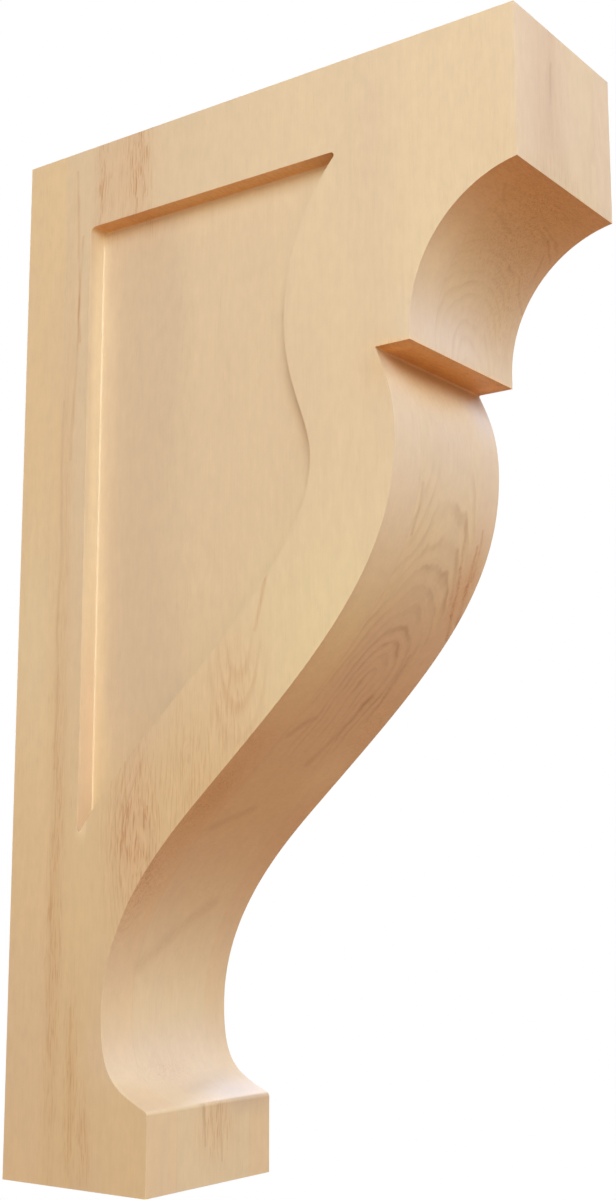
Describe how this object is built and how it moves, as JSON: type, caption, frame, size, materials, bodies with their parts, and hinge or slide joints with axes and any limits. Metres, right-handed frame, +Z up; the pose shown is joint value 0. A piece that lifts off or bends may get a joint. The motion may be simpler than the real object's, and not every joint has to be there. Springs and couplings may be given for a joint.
{
  "type": "corbel bracket",
  "caption": "Carved wooden corbel bracket with a coved head, square ledge, S-shaped front, small foot and a sunk panel in each side.",
  "frame": {"origin": "middle of the flat back face, where the bracket sits against the wall", "axes": "+Y out of the back into the wall, so the carved front faces -Y; +Z up; X across the width"},
  "size_m": [0.089, 0.2825, 0.5],
  "materials": {
    "pale_wood": "unvarnished fine-sanded pale hardwood, grain running up the bracket"
  },
  "bodies": {
    "root": {"corbel_bracket": "pale_wood"}
  },
  "joints": []
}
